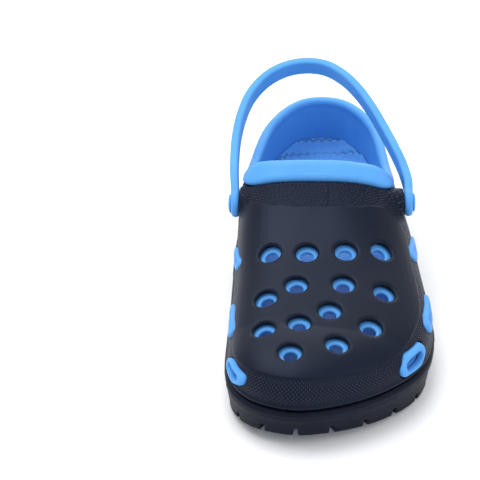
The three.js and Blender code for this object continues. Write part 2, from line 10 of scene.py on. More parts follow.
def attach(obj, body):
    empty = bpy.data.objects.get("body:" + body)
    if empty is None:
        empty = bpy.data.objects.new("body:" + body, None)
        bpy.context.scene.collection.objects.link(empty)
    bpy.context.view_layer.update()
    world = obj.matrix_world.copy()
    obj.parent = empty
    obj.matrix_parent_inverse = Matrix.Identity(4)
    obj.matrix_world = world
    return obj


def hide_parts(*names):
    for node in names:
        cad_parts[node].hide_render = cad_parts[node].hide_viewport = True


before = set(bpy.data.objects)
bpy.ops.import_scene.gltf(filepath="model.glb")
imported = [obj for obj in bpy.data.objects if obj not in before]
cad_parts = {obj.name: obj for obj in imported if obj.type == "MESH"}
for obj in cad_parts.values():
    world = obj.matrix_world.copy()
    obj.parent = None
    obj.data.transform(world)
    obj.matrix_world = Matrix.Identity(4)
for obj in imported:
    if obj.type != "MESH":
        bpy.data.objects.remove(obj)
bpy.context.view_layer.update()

# Lengths are in mm and angles in degrees, unless a line converts them. x runs across the shoe, positive on
# the outer side, y runs from toe to heel, and z is up. Outlines, pads and holes are [x, y] points, and CREST
# to BULGE_MEDIAL are [y, value] tables.

# ---------------------------------------------------------------- sizes as in the CAD
ORIGIN_X = 2.45  # from the drawing's x = 0 to the frame's
KY = 288 / 288.7  # from the drawn length to the made length
SHELL_IN, SHELL_WALL, GAP, LINER_WALL = 1.6, 3.0, 0.3, 2.7
SOLE_DROP, LUG_DEPTH, PAD_SINK, PAD_SEAT = 9.0, 4.5, 0.8, 2.0
PIVOT_Y = 13 * KY
PIVOTS = {
    "medial": (np.array([-55.4, PIVOT_Y, 55.5]), -1.0),
    "lateral": (np.array([41.2, PIVOT_Y, 59.5]), 1.0),
}
PIVOT_SPAN = PIVOTS["lateral"][0] - PIVOTS["medial"][0]
HINGE = PIVOT_SPAN / np.linalg.norm(PIVOT_SPAN)
STRAP_THICK, STRAP_RISE = 5.0, math.radians(18)

OUTLINE = np.array([
    [-7.5, 144.2], [12, 137], [28, 112], [34.5, 80], [40, 45], [48.6, 13], [54, -22], [57.6, -52],
    [57.4, -75], [53, -95], [42, -112.5], [25, -128], [5.5, -139], [-14, -144.5], [-29, -142.8],
    [-42.8, -136], [-53, -122.5], [-57.2, -104], [-57.8, -76], [-57.6, -40], [-58, 0], [-57.2, 36],
    [-53, 72], [-45.5, 108], [-28, 136.5]]) * [1, KY]
CREST = [[-150, 38], [-135, 41], [-118, 44], [-100, 47], [-75, 51], [-45, 57], [-25, 63.5], [-10, 70.5],
         [3, 78], [14, 86], [26, 92], [60, 96], [150, 96]]
SPINE = [[-100, -16], [-30, -4], [30, -5], [150, -7]]
GROOVE = [[-150, 24.5], [-120, 22.5], [-75, 21], [0, 21], [60, 23.5], [110, 26.5], [150, 28]]
COLLAR = [[12, 100], [15, 87.5], [20, 82], [27, 75.5], [34.5, 68], [42.5, 62], [54, 58.6], [75, 57.6],
          [105, 58.8], [137, 61], [175, 62]]
CUFF = [[-6, 92], [4.5, 77.8], [9, 71.5], [13.5, 68.2], [19, 65.6], [23.5, 64.5], [29, 61.5], [37, 57],
        [48, 54], [62, 52.6], [80, 52], [105, 53.2], [137, 55.4], [175, 56.4]]
SOLE_INSET = [[-150, 1.2], [-75, 1.8], [-20, 3.5], [20, 6], [60, 4.5], [100, 3], [150, 3]]
BULGE_LATERAL = [[-150, 2.7], [-100, 2.6], [-50, 2.3], [0, 2.05], [32, 2.1], [62, 3], [150, 3]]
BULGE_MEDIAL = [[-150, 2.7], [-100, 2.7], [-50, 3.1], [0, 3.6], [60, 3.4], [150, 3]]
HOLES = [[-21.6, -119.5], [3.2, -111.4], [-36.5, -99.3], [-17.4, -95.5], [21.5, -94.7], [-1, -85.1],
         [-36.5, -74.3], [-19.9, -65.5], [6.3, -64], [29, -66.3], [-35.6, -39.4], [-14.7, -41.3],
         [7.2, -39.6], [27.5, -34.7]]
# Middle, facing angle in plan, lean, half length and half height of each side window
VENTS = {
    "side_vent_medial_front": ((-54, -118, 30.2), 192, 3, 13, 4.4),
    "side_vent_medial_middle": ((-55, -74, 32.6), 181, 4, 16, 3.8),
    "side_vent_medial_rear": ((-55, -22, 39.8), 180, 13, 14.5, 3.7),
    "side_vent_lateral_front": ((45, -103, 30.5), -34, -3, 13, 5.1),
    "side_vent_lateral_middle": ((53, -60, 31.8), 0, -5, 17.5, 3.9),
    "side_vent_lateral_rear": ((48, -8, 41.0), 8, -15, 15.5, 3.8),
}
VENT_SLANT = 5.0
PADS = {
    "tread_pad_toe_medial": [[-23, -130], [-34, -124], [-38, -110], [-35, -105], [-15, -104], [-12, -107],
                             [-18, -129]],
    "tread_pad_toe_lateral": [[-9, -129], [-5, -126], [2, -106], [19, -107], [22, -111], [17, -117],
                              [1, -128]],
    "tread_pad_ball_medial": [[-34, -71], [-37, -66], [-36, -53], [-25, -40], [-7, -30], [-3, -33],
                              [-3, -62], [-7, -66], [-21, -71]],
    "tread_pad_ball_lateral": [[9, -65], [9, -31], [14, -28], [23, -31], [37, -42], [41, -54],
                               [40, -69], [35, -73], [24, -71], [13, -68]],
    "tread_pad_heel_medial": [[-36, 72], [-38, 84], [-33, 108], [-22, 121], [-13, 123], [-11, 120],
                              [-11, 72], [-14, 69], [-33, 69]],
    "tread_pad_heel_lateral": [[-5, 72], [-5, 120], [-3, 123], [6, 120], [16, 108], [22, 84], [20, 72],
                               [17, 69], [-2, 69]],
}
STRAP_PATH = [
    [-50.8, -1], [-50.9, 5], [-51.5, 12], [-52.2, 20], [-52.6, 32], [-52.2, 50], [-49.8, 68], [-44.4, 86],
    [-34, 101], [-21.5, 109], [-9, 111], [2, 108.5], [13, 100], [22, 88], [30, 73], [36.8, 57], [43, 41],
    [48, 26], [50.9, 12], [50.8, 4], [50.8, -1]]
STRAP_REACH = 113 / 111
STRAP_WIDTHS = [[0, 14], [0.1, 12.5], [0.3, 11.5], [0.5, 11], [0.7, 11.5], [0.9, 12.5], [1, 14]]

# ---------------------------------------------------------------- sizes of the finer details
HOLE_RADIUS, LINER_HOLE_RADIUS = 6.0, 3.6
PANEL_RELIEF = 0.7
BEAD_RISE, BEAD_RADIUS = 2.6, 1.15
PIN_HOLE_RADIUS, RECESS_RADIUS = 2.6, 9.5
SHELL_BOSS_RADIUS, SHELL_BOSS_DEPTH = 10.0, 12
LINER_BOSS_RADIUS, LINER_BOSS_DEPTH = 8.0, 13
CAP_SEAT_RADIUS, CAP_SEAT_DEPTH = 6.0, 18
VENT_PROUD = 1.5
SLOT_LENGTH, SLOT_WALL, SLOT_SLANT = 0.64, 2.4, 0.6
BED_THICK, HEEL_CUP = 4.0, 7.0
ARC_MIDDLE, ARC_RADII = (-5.5, 91), (23.5, 32, 40.5)
ARC_RISE, ARC_SINK, SCALLOP, SCALLOP_PITCH = 1.1, 0.5, 1.5, 5.0
EDGE_BLOCKS, SLIT_HALF, LUG_BAND = 34, 1.3, 11
WAIST_FRONT, WAIST_REAR = -22, 52
BAR_ROWS, BAR_HALF, BAR_RIB_PITCH = (-98, -89.5, -81), 3.3, 4.0
BAR_ENDS = ((-38, -9, -3, 0.16), (5, 38, 4, -0.16))  # first x, last x, shift in y, slant
SPINE_BLOCKS = [[-9, -119], [-6.5, -102], [-4.5, -91], [-1.5, -80],
                [1.5, -69], [3, -57], [3.4, -45], [3, -33]]
SPINE_HALF = (3.4, 4.4)
QUILT_CELL, QUILT_TURN, QUILT_DEPTH = 8.6, 0.12, 2.0
STRAP_EDGE_RADIUS, HUB_RADIUS = 1.5, 8.0
DOT_PERIOD = 2.4
PANEL_SIDE = {
    "lateral": [[-150, 41.5], [-132, 40], [-123, 38.3], [-106, 38], [-89, 39.1], [-65, 39.8],
                [-35, 44.5], [-7, 51], [10, 55], [40, 60]],
    "medial": [[-150, 41.5], [-134, 40], [-117, 36.8], [-104, 35.1], [-85, 36.3], [-60, 39],
               [-30, 43.5], [-8, 49], [8, 54.5], [40, 62]],
}
PANEL_TOP = np.array([[-60, 8], [-54, 6.5], [-47, -1], [-38, -7.2], [-21.5, -10.7], [-4, -11],
                      [13.8, -9.6], [29.5, -3], [36, -4], [43, -8], [60, -12]])


def table(rows, y):
    """A smooth curve through the table's rows, read at y and held level past its ends."""
    rows = np.asarray(rows, float)
    at = np.asarray(y, float) / KY
    X, V = rows[:, 0], rows[:, 1]
    last = len(X) - 1
    i = np.clip(np.searchsorted(X, at) - 1, 0, last - 1)

    def slope(k):
        a, b = np.maximum(k - 1, 0), np.minimum(k + 1, last)
        return (V[b] - V[a]) / (X[b] - X[a])
    h = X[i + 1] - X[i]
    u = (at - X[i]) / h
    v = ((2 * u**3 - 3 * u**2 + 1) * V[i] + (u**3 - 2 * u**2 + u) * h * slope(i)
         + (3 * u**2 - 2 * u**3) * V[i + 1] + (u**3 - u**2) * h * slope(i + 1))
    return np.where(at <= X[0], V[0], np.where(at >= X[-1], V[-1], v))


def groove(y):
    """Height of the line between the upper and the sole."""
    return table(GROOVE, y)


def tread(y):
    """Height of the tread, which lifts towards the toe."""
    return 8.2 * (np.maximum(-np.asarray(y, float) / KY - 70, 0) / 74) ** 2


def smoothstep(a, b, x):
    t = np.clip((x - a) / (b - a), 0, 1)
    return t * t * (3 - 2 * t)


# ---------------------------------------------------------------- the outline and the dome of the upper
def edge_points(count):
    """Even points on a smooth closed curve through OUTLINE, from the heel round, with outward normals."""
    half, c = count // 2, len(OUTLINE)
    ctrl = OUTLINE.copy()
    for _ in range(60):  # solves for the B-spline that passes through the drawn points
        near = np.roll(ctrl, 1, 0) + np.roll(ctrl, -1, 0)
        ctrl = (ctrl + (6 * OUTLINE - near) / 4) / 2
    t = np.arange(6000) / 6000 * c
    i = np.floor(t).astype(int)
    f = (t - i)[:, None]
    P = (ctrl[(i - 1) % c] * (1 - f)**3 + ctrl[i % c] * (3 * f**3 - 6 * f**2 + 4)
         + ctrl[(i + 1) % c] * (-3 * f**3 + 3 * f**2 + 3 * f + 1) + ctrl[(i + 2) % c] * f**3) / 6
    P = np.roll(P, -P[:, 1].argmax(), 0)
    toe = P[:, 1].argmin()

    def even(Q):
        run = np.r_[0, np.cumsum(np.linalg.norm(np.diff(Q, axis=0), axis=1))]
        want = np.linspace(0, run[-1], half + 1)
        return np.stack([np.interp(want, run, Q[:, 0]), np.interp(want, run, Q[:, 1])], 1)
    lateral = even(P[:toe + 1])
    medial = even(np.vstack([P[toe:], P[:1]])[::-1])
    pts = np.vstack([lateral[:half], medial[1:][::-1]])
    along = np.roll(pts, -1, 0) - np.roll(pts, 1, 0)
    along /= np.linalg.norm(along, axis=1)[:, None]
    return pts, np.stack([-along[:, 1], along[:, 0]], 1)


def dome_grid(count, phases):
    """Rings of points from the upper's foot (phase 0) to its crest (90), and the foot's ring in plan."""
    pts, nrm = edge_points(count)
    foot = pts - nrm * SHELL_IN
    base = groove(foot[:, 1]) + GAP
    k = np.arange(count)
    mate = foot[(count - k) % count]
    fy = np.clip((foot[:, 1] + mate[:, 1]) / 2, -97 * KY, 100 * KY)
    fx = table(SPINE, fy)
    power = 2 / np.where(k < count // 2, table(BULGE_LATERAL, foot[:, 1]), table(BULGE_MEDIAL, foot[:, 1]))
    rows = []
    for phase in phases:
        a = math.radians(phase)
        r = 0 * power if phase >= 90 else math.cos(a) ** power
        s = math.sin(a) ** power
        z = base + (table(CREST, fy) - base) * s
        rows.append(np.stack([fx + (foot[:, 0] - fx) * r, fy + (foot[:, 1] - fy) * r, z], 1))
    return np.array(rows), foot


# ---------------------------------------------------------------- distance fields on a regular grid
class Field:
    """A block of space sampled every h mm, with x, y, z ready to broadcast."""

    def __init__(self, low, high, h):
        self.h = h
        self.i0 = np.floor(np.asarray(low, float) / h).astype(int)
        i1 = np.ceil(np.asarray(high, float) / h).astype(int)
        self.shape = tuple(int(v) for v in i1 - self.i0 + 1)
        axes = [((self.i0[a] + np.arange(self.shape[a])) * h).astype(np.float32) for a in range(3)]
        self.ax = axes
        self.x, self.y, self.z = axes[0][:, None, None], axes[1][None, :, None], axes[2][None, None, :]

    def near(self, point, reach):
        """Slices of the samples within reach of a point."""
        return tuple(slice(max(int((point[a] - reach) / self.h - self.i0[a]), 0),
                           max(int((point[a] + reach) / self.h - self.i0[a]) + 2, 1)) for a in range(3))

    def at(self, sl):
        return self.x[sl[0]], self.y[:, sl[1]], self.z[:, :, sl[2]]

    def from_mesh(self, verts, quads, outside, inside):
        """Signed distance to a closed cage, true that far outside and inside it."""
        grid = vdb.FloatGrid.createLevelSetFromPolygons(
            np.ascontiguousarray(verts, np.float32), quads=np.ascontiguousarray(quads, np.uint32),
            transform=vdb.createLinearTransform(voxelSize=self.h),
            exBandWidth=float(outside / self.h), inBandWidth=float(inside / self.h))
        out = np.empty(self.shape, np.float32)
        grid.copyToArray(out, ijk=tuple(int(v) for v in self.i0))
        return out

    def mesh(self, name, field, adaptivity=0.0):
        """The surface where a distance field is 0, as an object."""
        band = np.float32(3 * self.h)
        grid = vdb.FloatGrid(float(band))
        grid.transform = vdb.createLinearTransform(voxelSize=self.h)
        grid.copyFromArray(np.clip(field, -band, band), ijk=tuple(int(v) for v in self.i0))
        pts, tris, quads = grid.convertToPolygons(isovalue=0.0, adaptivity=adaptivity)
        return build(name, pts, tris, quads)


def build(name, pts, tris, quads):
    """A smooth-shaded object from points in mm, its faces turned outwards."""
    tris, quads = np.asarray(tris, np.int64), np.asarray(quads, np.int64)
    both = [quads[:, [0, 1, 2]], quads[:, [0, 2, 3]]] if len(quads) else []
    allt = np.vstack(([tris] if len(tris) else []) + both)
    P = np.asarray(pts, np.float64)
    volume = np.einsum("ij,ij->i", P[allt[:, 0]], np.cross(P[allt[:, 1]], P[allt[:, 2]])).sum()
    if volume < 0:
        tris, quads = tris[:, ::-1], quads[:, ::-1]
    me = bpy.data.meshes.new(name)
    P = (P + [ORIGIN_X, 0, 0]) / 1000
    loops = np.concatenate([quads.ravel(), tris.ravel()])
    starts = np.concatenate([np.arange(len(quads)) * 4, len(quads) * 4 + np.arange(len(tris)) * 3])
    me.vertices.add(len(P))
    me.vertices.foreach_set("co", P.ravel().astype(np.float32))
    me.loops.add(len(loops))
    me.loops.foreach_set("vertex_index", loops.astype(np.int32))
    me.polygons.add(len(starts))
    me.polygons.foreach_set("loop_start", starts.astype(np.int32))
    me.update(calc_edges=True)
    me.validate()
    me.polygons.foreach_set("use_smooth", np.ones(len(me.polygons), bool))
    ob = bpy.data.objects.new(name, me)
    bpy.context.scene.collection.objects.link(ob)
    return ob


def shoe_mm(ob):
    """Vertices of a built object, back in mm on the drawing."""
    co = np.empty(len(ob.data.vertices) * 3, np.float32)
    ob.data.vertices.foreach_get("co", co)
    return co.reshape(-1, 3) * 1000 - [ORIGIN_X, 0, 0]


def store(ob, label, values):
    """Keeps one number for each vertex, for a material to read."""
    ob.data.attributes.new(label, "FLOAT", "POINT").data.foreach_set("value", values.astype(np.float32))


def smin(a, b, k):
    """Union of two distance fields, with a fillet about k wide."""
    d = np.maximum(k - np.abs(a - b), 0) / k
    return np.minimum(a, b) - d * d * (k / 4)


def smax(a, b, k):
    """Overlap of two distance fields, with a rounded edge about k wide."""
    d = np.maximum(k - np.abs(a - b), 0) / k
    return np.maximum(a, b) + d * d * (k / 4)


def polygon_distance(px, py, poly):
    """Signed distance to a plan polygon, negative inside, with the nearest run along it."""
    poly = np.asarray(poly, float)
    nxt = np.roll(poly, -1, 0)
    best = np.full(px.shape, 1e9, np.float32)
    run_at = np.zeros(px.shape, np.float32)
    inside = np.zeros(px.shape, bool)
    run = 0.0
    for (ax, ay), (bx, by) in zip(poly, nxt):
        dx, dy = bx - ax, by - ay
        length = math.hypot(dx, dy)
        t = np.clip(((px - ax) * dx + (py - ay) * dy) / (length * length), 0, 1)
        d = np.hypot(px - ax - t * dx, py - ay - t * dy)
        closer = d < best
        best = np.where(closer, d, best)
        run_at = np.where(closer, run + t * length, run_at)
        run += length
        if ay != by:
            cross = (ay > py) != (by > py)
            inside ^= cross & (px < dx * (py - ay) / dy + ax)
    return np.where(inside, -best, best).astype(np.float32), run_at


def above_line(f, rows):
    """Positive above a side-view line, as a y-z field."""
    first, last = rows[0][0] * KY, rows[-1][0] * KY
    ys = np.linspace(first, last, 90)
    line = np.stack([ys, table(rows, ys)], 1)
    well_above = 260
    poly = np.vstack([line, [[last, well_above], [first, well_above]]])
    py, pz = np.meshgrid(f.ax[1], f.ax[2], indexing="ij")
    return -polygon_distance(py, pz, poly)[0][None]


def rod(f, sl, point, along, radius):
    """Distance from a rod's side, and how far along it each sample lies."""
    x, y, z = f.at(sl)
    dx, dy, dz = x - point[0], y - point[1], z - point[2]
    run = dx * along[0] + dy * along[1] + dz * along[2]
    off = np.sqrt(np.maximum(dx * dx + dy * dy + dz * dz - run * run, 0))
    return off - radius, run


def centripetal(points, loop, each):
    """A curve through points by centripetal Catmull-Rom, with that many steps between two of them."""
    P = np.asarray(points, float)
    n = len(P)
    if not loop:
        P = np.vstack([2 * P[0] - P[1], P, 2 * P[-1] - P[-2]])
    out = []
    for i in range(n if loop else n - 1):
        q = [P[(i + j - 1) % n] for j in range(4)] if loop else list(P[i:i + 4])
        t = np.r_[0, np.cumsum([np.linalg.norm(q[j + 1] - q[j]) ** 0.5 for j in range(3)])]
        for f in np.arange(each) / each:
            u = t[1] + (t[2] - t[1]) * f
            a = [q[j] * (t[j + 1] - u) / (t[j + 1] - t[j]) + q[j + 1] * (u - t[j]) / (t[j + 1] - t[j])
                 for j in range(3)]
            b = [a[j] * (t[j + 2] - u) / (t[j + 2] - t[j]) + a[j + 1] * (u - t[j]) / (t[j + 2] - t[j])
                 for j in range(2)]
            out.append(b[0] * (t[2] - u) / (t[2] - t[1]) + b[1] * (u - t[1]) / (t[2] - t[1]))
    if not loop:
        out.append(P[-2])
    return np.array(out)


def path_distance(px, py, path):
    """Distance to an open path, positive on its left, with the share of its length reached."""
    best = np.full(px.shape, 1e9)
    signed, share = best.copy(), best.copy()
    run = np.r_[0, np.cumsum(np.linalg.norm(np.diff(path, axis=0), axis=1))]
    for i, ((ax, ay), (bx, by)) in enumerate(zip(path[:-1], path[1:])):
        dx, dy = bx - ax, by - ay
        length = math.hypot(dx, dy)
        t = np.clip(((px - ax) * dx + (py - ay) * dy) / length**2, 0, 1)
        d = np.hypot(px - ax - t * dx, py - ay - t * dy)
        closer = d < best
        side = np.where(dx * (py - ay) - dy * (px - ax) >= 0, 1.0, -1.0)
        best = np.where(closer, d, best)
        signed = np.where(closer, d * side, signed)
        share = np.where(closer, (run[i] + t * length) / run[-1], share)
    return signed, share


# ---------------------------------------------------------------- the upper: shell, liner and footbed
H = 0.72
RING_POINTS = 480
DOME, FOOT = dome_grid(RING_POINTS, np.linspace(0, 90, 61))


def dome_cage():
    """The dome closed below with a skirt and a floor."""
    skirt = DOME[0].copy()
    skirt[:, 2] = 2.0
    cage = np.concatenate([skirt[None], DOME])
    ids = np.arange(len(cage) * RING_POINTS).reshape(len(cage), RING_POINTS)
    far = np.roll(ids, -1, 1)
    walls = np.stack([ids[:-1], far[:-1], far[1:], ids[1:]], -1).reshape(-1, 4)
    k = np.arange(RING_POINTS // 2)
    under = np.stack([k + 1, k, (RING_POINTS - k) % RING_POINTS, RING_POINTS - k - 1], -1)
    return cage.reshape(-1, 3), np.vstack([walls, under])


# U is the distance out from the dome at each sample of the upper, and X3, Y3 and Z3 are the samples' places
upper = Field((-63, -148, 8), (63, 148, 98), H)
U = upper.from_mesh(*dome_cage(), outside=9, inside=20)
X3, Y3, Z3 = upper.x, upper.y, upper.z
GROOVE_Y = groove(upper.ax[1]).astype(np.float32)[None, :, None]
FLOOR_Y = GROOVE_Y - SOLE_DROP
LINER_OUT = SHELL_WALL + GAP
LINER_IN = LINER_OUT + LINER_WALL
ABOVE_CUFF = above_line(upper, CUFF).astype(np.float32)
ABOVE_COLLAR = above_line(upper, COLLAR).astype(np.float32)


def on_dome(x, y):
    """Height and outward direction of the dome at a plan position."""
    i = int(round(x / H)) - upper.i0[0]
    j = int(round(y / H)) - upper.i0[1]
    col = U[i, j]
    top = np.where(col < 0)[0].max()
    f = col[top] / (col[top] - col[top + 1])
    z = (upper.i0[2] + top + f) * H
    s = 3
    slope = np.array([U[i + s, j, top] - U[i - s, j, top], U[i, j + s, top] - U[i, j - s, top],
                      U[i, j, top + s] - U[i, j, top - s]])
    return np.array([x, y, z]), slope / np.linalg.norm(slope)


def subtract_rod(field, f, point, along, radius, lo, hi, k):
    """Drills a field from lo to hi along a line through a point, and rounds the edge by k."""
    sl = f.near(point, max(radius, abs(lo), abs(hi)) + 4)
    off, run = rod(f, sl, point, along, radius)
    cut = np.maximum(off, np.maximum(lo - run, run - hi))
    field[sl] = smax(field[sl], -cut, k)


def lozenge(vent, grow, slot):
    """Corners, and the radius that rounds them, of a side window or of the slot in its insert."""
    long, tall, slant = vent[3], vent[4], VENT_SLANT
    if slot:
        long, tall, slant = long * SLOT_LENGTH, tall - SLOT_WALL, slant * SLOT_SLANT
    long, tall = long + grow, tall + grow
    corner = min(3.4, tall * 0.9)
    long, tall = long - corner * 1.1, tall - corner
    return np.array([[-long, -tall], [long - slant, -tall], [long, tall], [-long + slant, tall]]), corner


def vent_middle(vent):
    return np.array(vent[0], float) * [1, KY, 1]


def vent_box(vent):
    """Slices of the upper's samples round a vent."""
    return upper.near(vent_middle(vent), 26)


def vent_frame(sl, vent):
    """Where each sample lies along and across a vent."""
    at, face, lean = vent_middle(vent), math.radians(vent[1]), math.radians(vent[2])
    x, y, z = upper.at(sl)
    along = -(x - at[0]) * math.sin(face) + (y - at[1]) * math.cos(face)
    up = z - at[2]
    return (along * math.cos(lean) + up * math.sin(lean), up * math.cos(lean) - along * math.sin(lean))


def vent_distance(sl, vent, grow=0, slot=False):
    """Distance to a vent's slanted lozenge, seen square on."""
    p, q = vent_frame(sl, vent)
    half, step = 34, 0.25
    axis = np.arange(-half, half + step, step)
    gx, gy = np.meshgrid(axis, axis, indexing="ij")
    poly, corner = lozenge(vent, grow, slot)
    flat = polygon_distance(gx, gy, poly)[0] - corner
    a = np.clip((p + half) / step, 0, len(axis) - 1.01)
    b = np.clip((q + half) / step, 0, len(axis) - 1.01)
    i, j = a.astype(int), b.astype(int)
    a, b = a - i, b - j
    return ((flat[i, j] * (1 - a) + flat[i + 1, j] * a) * (1 - b)
            + (flat[i, j + 1] * (1 - a) + flat[i + 1, j + 1] * a) * b).astype(np.float32)


def panel_distance(x, y, z):
    """Negative inside the smooth raised panel of the vamp."""
    blend = smoothstep(-20, 20, x + 6)
    low = table(PANEL_SIDE["medial"], y) * (1 - blend) + table(PANEL_SIDE["lateral"], y) * blend
    top = np.interp(x, PANEL_TOP[:, 0], PANEL_TOP[:, 1])
    return np.maximum(low - z, (y - top) * 0.9)


def boss(at, out, radius, depth, top, k):
    """Where the block round a pivot pin is, and its distance field."""
    sl = upper.near(at, 24)
    off, run = rod(upper, sl, at, out, radius)
    return sl, smax(smax(off, -depth - run, k), run + top, k)


def cut_pivots(field):
    """The strap's round recess and the pin's hole, on both sides."""
    for at, side in PIVOTS.values():
        subtract_rod(field, upper, at, HINGE * side, RECESS_RADIUS, GAP, 12, 0.8)
        subtract_rod(field, upper, at, HINGE * side, PIN_HOLE_RADIUS, -24, 8, 0.3)


def cut_holes(field, radius, depth, k):
    """The round holes of the vamp, square to its surface."""
    for x, y in HOLES:
        at, out = on_dome(x, y * KY)
        subtract_rod(field, upper, at, out, radius, -depth, 8, k)


def make_shell():
    relief = (PANEL_RELIEF * smoothstep(0.4, -0.4, panel_distance(X3, Y3, Z3))).astype(np.float32)
    body = U - relief
    bead = np.sqrt((U + 0.2) ** 2 + (Z3 - GROOVE_Y - BEAD_RISE) ** 2) - BEAD_RADIUS
    body = smin(body, bead, 0.9)
    for at, side in PIVOTS.values():
        sl, block = boss(at, HINGE * side, SHELL_BOSS_RADIUS, SHELL_BOSS_DEPTH, GAP, 1.5)
        body[sl] = smin(body[sl], block, 2.5)
    body = smax(body, GROOVE_Y + GAP - Z3, 1.2)
    body = smax(body, -(U + SHELL_WALL), 0.8)
    body = smax(body, ABOVE_CUFF + GAP, 2.0)
    cut_holes(body, HOLE_RADIUS, 12, 2.6)
    for vent in VENTS.values():
        sl = vent_box(vent)
        body[sl] = smax(body[sl], -vent_distance(sl, vent, GAP), 1.0)
    cut_pivots(body)
    return body


def make_liner():
    wall = smax(U + LINER_OUT, -(U + LINER_IN), 1.0)
    wall = smax(wall, FLOOR_Y + GAP - Z3, 0.6)
    floor = smax(U + LINER_OUT, FLOOR_Y + GAP - Z3, 0.6)
    floor = smax(floor, Z3 - (FLOOR_Y + GAP + LINER_WALL), 0.6)
    body = smin(wall, floor, 3.0)
    proud = 1.8 - 1.2 * smoothstep(21, 26, Y3)  # the collar stands out further than the heel rim
    thicker = 0.7 * smoothstep(30, 38, Y3)
    cuff = smax(U - proud.astype(np.float32), -(U + LINER_IN + thicker.astype(np.float32)), 4.0)
    cuff = smax(cuff, -ABOVE_CUFF, 3.5)
    body = smin(body, cuff, 1.2)
    body = smax(body, ABOVE_COLLAR, 6.0)
    for at, side in PIVOTS.values():
        out = HINGE * side
        sl, block = boss(at, out, LINER_BOSS_RADIUS, LINER_BOSS_DEPTH, 2, 1.2)
        body[sl] = smin(body[sl], smax(block, U[sl] + LINER_OUT, 0.4), 2.0)
        subtract_rod(body, upper, at, out, CAP_SEAT_RADIUS, -CAP_SEAT_DEPTH, -LINER_BOSS_DEPTH, 0.6)
    cut_holes(body, LINER_HOLE_RADIUS, 14, 1.6)
    for vent in VENTS.values():
        sl = vent_box(vent)
        body[sl] = smax(body[sl], -vent_distance(sl, vent, slot=True), 0.8)
    cut_pivots(body)
    return body


def heel_arcs(x, y):
    """Roped arcs in the footbed's heel: how far up a rib, and down the groove beside it, a point is."""
    dx, dy = x - ARC_MIDDLE[0], y - ARC_MIDDLE[1]
    radius, turn = np.hypot(dx, dy), np.arctan2(dx, dy)
    crest, trough = np.zeros_like(radius), np.zeros_like(radius)
    for ring in ARC_RADII:
        scallop = np.abs(np.cos(turn * round(ring * math.pi / SCALLOP_PITCH)))
        off = radius - ring - SCALLOP * scallop
        crest = np.maximum(crest, np.exp(-(off / 1.1) ** 2))
        trough = np.maximum(trough, np.exp(-((off - 1.9) / 0.8) ** 2))
    keep = smoothstep(93, 99, y) * smoothstep(1.5, 1.25, np.abs(turn))
    return crest * keep, trough * keep


def resampled(field, own, other):
    """A field on its own grid, read at another grid's samples along straight lines."""
    for axis in range(3):
        at = np.clip(other.ax[axis] / own.h - own.i0[axis], 0, own.shape[axis] - 1.001)
        low = at.astype(int)
        mix = (at - low).astype(np.float32).reshape([-1 if k == axis else 1 for k in range(3)])
        field = np.take(field, low, axis) * (1 - mix) + np.take(field, low + 1, axis) * mix
    return field


def make_footbed():
    f = Field((-52, -140, 13), (57, 140, 35), 0.5)
    u = resampled(U, upper, f)
    crest, trough = heel_arcs(f.x + 0 * f.y, f.y + 0 * f.x)
    floor = (groove(f.ax[1]) - SOLE_DROP).astype(np.float32)[None, :, None]
    low = floor + 2 * GAP + LINER_WALL
    cup = HEEL_CUP * smoothstep(-13, 1.5, u + LINER_IN) ** 2
    top = low + BED_THICK + cup + ARC_RISE * crest - ARC_SINK * trough
    return f, smax(smax(u + LINER_IN + GAP, low - f.z, 0.8), f.z - top, 0.7).astype(np.float32)


def paint_arcs(ob):
    """Stores how deep in the heel's grooves each point lies, as the mask for painted shade there."""
    co = shoe_mm(ob)
    crest, trough = heel_arcs(co[:, 0], co[:, 1])
    store(ob, "groove_shade", np.clip(trough - 0.3 * crest, 0, 1) * (co[:, 2] > 20))


def make_vent(vent):
    sl = vent_box(vent)
    body = np.full(upper.shape, 3.0, np.float32)
    ring = smax(vent_distance(sl, vent), U[sl] - VENT_PROUD, 1.8)
    ring = smax(ring, -(U[sl] + SHELL_WALL), 0.5)
    body[sl] = smax(ring, -vent_distance(sl, vent, slot=True), 1.4)
    return body


# ---------------------------------------------------------------- the outsole and its tread
# Names that end in 2 hold one number for each sample in plan, at SX and SY
sole = Field((-64, -149, -2), (64, 149, 31), H)
SX, SY = np.meshgrid(sole.ax[0], sole.ax[1], indexing="ij")


def edge_runs():
    """Distance to the sole's edge, the number of edge blocks passed on the way, and a block's pitch."""
    steps = 12
    ring, _ = edge_points(EDGE_BLOCKS * steps)
    off, run = polygon_distance(SX, SY, ring)
    passed = np.r_[0, np.cumsum(np.linalg.norm(np.diff(np.vstack([ring, ring[:1]]), axis=0), axis=1))]
    return off, np.interp(run, passed, np.arange(len(passed))) / steps, passed[-1] / EDGE_BLOCKS


E2, BLOCK_AT, BLOCK_PITCH = edge_runs()
INSET2 = table(SOLE_INSET, SY)
TREAD2 = tread(SY)
GROOVE2 = groove(SY)


def cross_cut(s, q, reach):
    """1 in a small cross moulded into a block."""
    arms = smoothstep(0.9, 0.4, np.minimum(np.abs(s), np.abs(q)))
    return arms * smoothstep(reach, reach - 0.6, np.hypot(s, q))


def edge_lugs():
    """Plan distance to the ring of blocks, and how deep their crosses are."""
    part = BLOCK_AT - np.floor(BLOCK_AT)
    slit = SLIT_HALF - np.minimum(part, 1 - part) * BLOCK_PITCH
    band = np.maximum(E2 + INSET2 + 0.6, -(E2 + INSET2 + LUG_BAND))
    middle = (WAIST_FRONT + WAIST_REAR) / 2
    waist = np.where(SY < middle, SY / KY - WAIST_FRONT, WAIST_REAR - SY / KY)
    cross = cross_cut((part - 0.5) * BLOCK_PITCH, -E2 - INSET2 - 6, 3.4)
    return np.maximum(np.maximum(band, slit), waist), 0.8 * np.where(band < 0, cross, 0)


